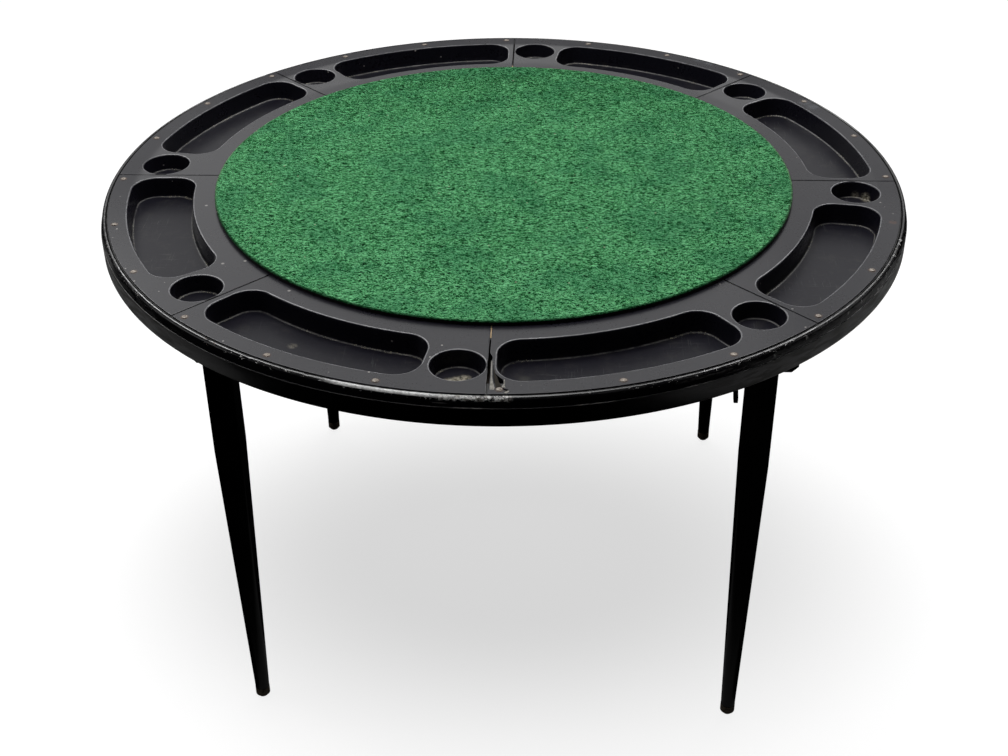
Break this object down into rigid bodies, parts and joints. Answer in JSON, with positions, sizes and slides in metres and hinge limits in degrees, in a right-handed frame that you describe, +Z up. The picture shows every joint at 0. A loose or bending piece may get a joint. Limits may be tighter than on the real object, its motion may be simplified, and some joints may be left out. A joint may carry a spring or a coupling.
{
  "type": "folding poker table",
  "caption": "Round folding poker table: a carpeted centre inside a ring of moulded trays with cup holders, on tapered wooden legs that fold flat under the top on slotted braces.",
  "frame": {"origin": "on the floor, on the table's vertical centre line, at the bottom centre of the bounding box", "axes": "+Z up through the playing surface, +X to the right in the picture, +Y away from its camera; seams between tray segments lie on X, Y and the diagonals"},
  "size_m": [1.219, 1.2192, 0.7575],
  "materials": {
    "black_rim": "gloss black paint, chipped and scuffed",
    "black_plastic": "satin moulded sheet, near-black in the wells",
    "green_carpet": "rough needle-punched pile",
    "board": "bare panel and blocks",
    "dark_board": "stained board",
    "leg_paint": "satin black paint",
    "worn_brass": "dull, worn brown",
    "glide_steel": "dark, rubbed",
    "black_steel": "black enamel on stamped steel",
    "plain_steel": "zinc-plated, dull",
    "nail_steel": "plated nail heads, lightly rusted"
  },
  "bodies": {
    "root": {"rim_hoop": "black_rim", "deck_panel": "dark_board", "nailing_ring": "board", "inner_ring": "board", "core_block": "board", "centre_panel": "board", "felt_board": "dark_board", "playing_carpet": "green_carpet", "tray_nails": "nail_steel", "tray_segment_1": "black_plastic", "tray_segment_2": "black_plastic", "tray_segment_3": "black_plastic", "tray_segment_4": "black_plastic", "tray_segment_5": "black_plastic", "tray_segment_6": "black_plastic", "tray_segment_7": "black_plastic", "tray_segment_8": "black_plastic", "leg_pivot_bolts": "plain_steel", "leg_pivot_nuts": "plain_steel", "bracket_screws": "plain_steel", "leg_bracket_front_right": "black_steel", "leg_bracket_back_right": "black_steel", "leg_bracket_back_left": "black_steel", "leg_bracket_front_left": "black_steel", "brace_track_front_right": "black_steel", "brace_track_back_right": "black_steel", "brace_track_back_left": "black_steel", "brace_track_front_left": "black_steel"},
    "leg_front_right": {"leg_front_right": "leg_paint", "leg_ferrule_front_right": "worn_brass", "leg_glide_front_right": "glide_steel", "brace_rivet_front_right": "plain_steel"},
    "brace_front_right": {"brace_front_right": "black_steel", "brace_pin_front_right": "plain_steel"},
    "leg_back_right": {"leg_back_right": "leg_paint", "leg_ferrule_back_right": "worn_brass", "leg_glide_back_right": "glide_steel", "brace_rivet_back_right": "plain_steel"},
    "brace_back_right": {"brace_back_right": "black_steel", "brace_pin_back_right": "plain_steel"},
    "leg_back_left": {"leg_back_left": "leg_paint", "leg_ferrule_back_left": "worn_brass", "leg_glide_back_left": "glide_steel", "brace_rivet_back_left": "plain_steel"},
    "brace_back_left": {"brace_back_left": "black_steel", "brace_pin_back_left": "plain_steel"},
    "leg_front_left": {"leg_front_left": "leg_paint", "leg_ferrule_front_left": "worn_brass", "leg_glide_front_left": "glide_steel", "brace_rivet_front_left": "plain_steel"},
    "brace_front_left": {"brace_front_left": "black_steel", "brace_pin_front_left": "plain_steel"}
  },
  "joints": [
    {"name": "fold_leg_front_right", "type": "hinge", "parent": "root", "child": "leg_front_right", "pos_m": [0.36488, -0.38316, 0.68725], "axis": [1, 0, 0], "range_deg": [0, 90]},
    {"name": "swing_brace_front_right", "type": "hinge", "parent": "leg_front_right", "child": "brace_front_right", "pos_m": [0.36488, -0.38316, 0.62925], "axis": [1, 0, 0], "range_deg": [-135, 0]},
    {"name": "fold_leg_back_right", "type": "hinge", "parent": "root", "child": "leg_back_right", "pos_m": [0.38316, 0.36488, 0.68725], "axis": [0, 1, 0], "range_deg": [0, 90]},
    {"name": "swing_brace_back_right", "type": "hinge", "parent": "leg_back_right", "child": "brace_back_right", "pos_m": [0.38316, 0.36488, 0.62925], "axis": [0, 1, 0], "range_deg": [-135, 0]},
    {"name": "fold_leg_back_left", "type": "hinge", "parent": "root", "child": "leg_back_left", "pos_m": [-0.36488, 0.38316, 0.68725], "axis": [-1, 0, 0], "range_deg": [0, 90]},
    {"name": "swing_brace_back_left", "type": "hinge", "parent": "leg_back_left", "child": "brace_back_left", "pos_m": [-0.36488, 0.38316, 0.62925], "axis": [-1, 0, 0], "range_deg": [-135, 0]},
    {"name": "fold_leg_front_left", "type": "hinge", "parent": "root", "child": "leg_front_left", "pos_m": [-0.38316, -0.36488, 0.68725], "axis": [0, -1, 0], "range_deg": [0, 90]},
    {"name": "swing_brace_front_left", "type": "hinge", "parent": "leg_front_left", "child": "brace_front_left", "pos_m": [-0.38316, -0.36488, 0.62925], "axis": [0, -1, 0], "range_deg": [-135, 0]}
  ],
  "couplings": [
    {"joint": "swing_brace_front_right", "follows": "fold_leg_front_right", "ratio": -1.5},
    {"joint": "swing_brace_back_right", "follows": "fold_leg_back_right", "ratio": -1.5},
    {"joint": "swing_brace_back_left", "follows": "fold_leg_back_left", "ratio": -1.5},
    {"joint": "swing_brace_front_left", "follows": "fold_leg_front_left", "ratio": -1.5}
  ]
}
